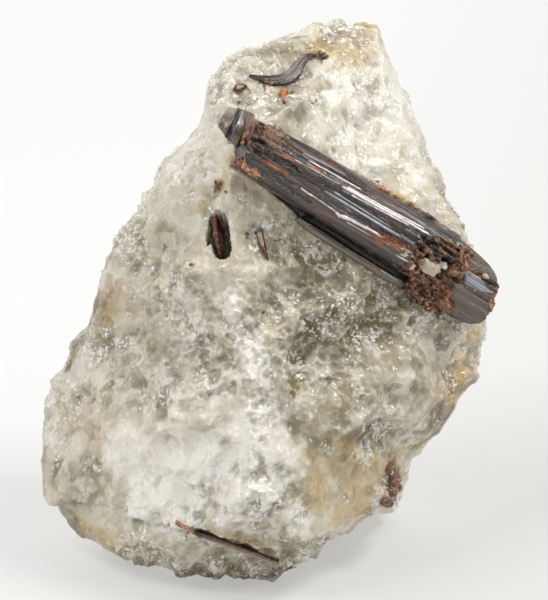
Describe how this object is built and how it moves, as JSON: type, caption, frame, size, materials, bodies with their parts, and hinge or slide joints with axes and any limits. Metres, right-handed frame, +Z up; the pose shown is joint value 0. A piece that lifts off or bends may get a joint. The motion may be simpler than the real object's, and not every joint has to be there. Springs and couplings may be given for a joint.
{
  "type": "rutilated quartz",
  "caption": "Hand specimen of massive milky quartz with a large striated rutile prism and smaller rutile crystals set in its surface.",
  "frame": {"origin": "on the flat face the stone rests on, below the middle of its show side", "axes": "+Z up from the resting face, +X to the viewer's right and -Y towards the viewer of the show side"},
  "size_m": [0.061, 0.0481, 0.0671],
  "materials": {
    "milky_quartz": "milky to smoky massive quartz with a sugary, hackly, glittering fracture and faint iron stains",
    "rutile": "metallic dark red-brown to black rutile, striated along its length, with rusty broken places",
    "red_rutile": "thin red-brown rutile with a glassy to metallic shine"
  },
  "bodies": {
    "root": {"quartz_matrix": "milky_quartz", "rutile_prism": "rutile", "rutile_stub": "rutile", "rutile_bent_blade": "rutile", "rutile_needle": "rutile", "rutile_flake": "red_rutile", "rutile_spike": "red_rutile", "rutile_sliver": "red_rutile", "rutile_pit_grain": "red_rutile"}
  },
  "joints": []
}
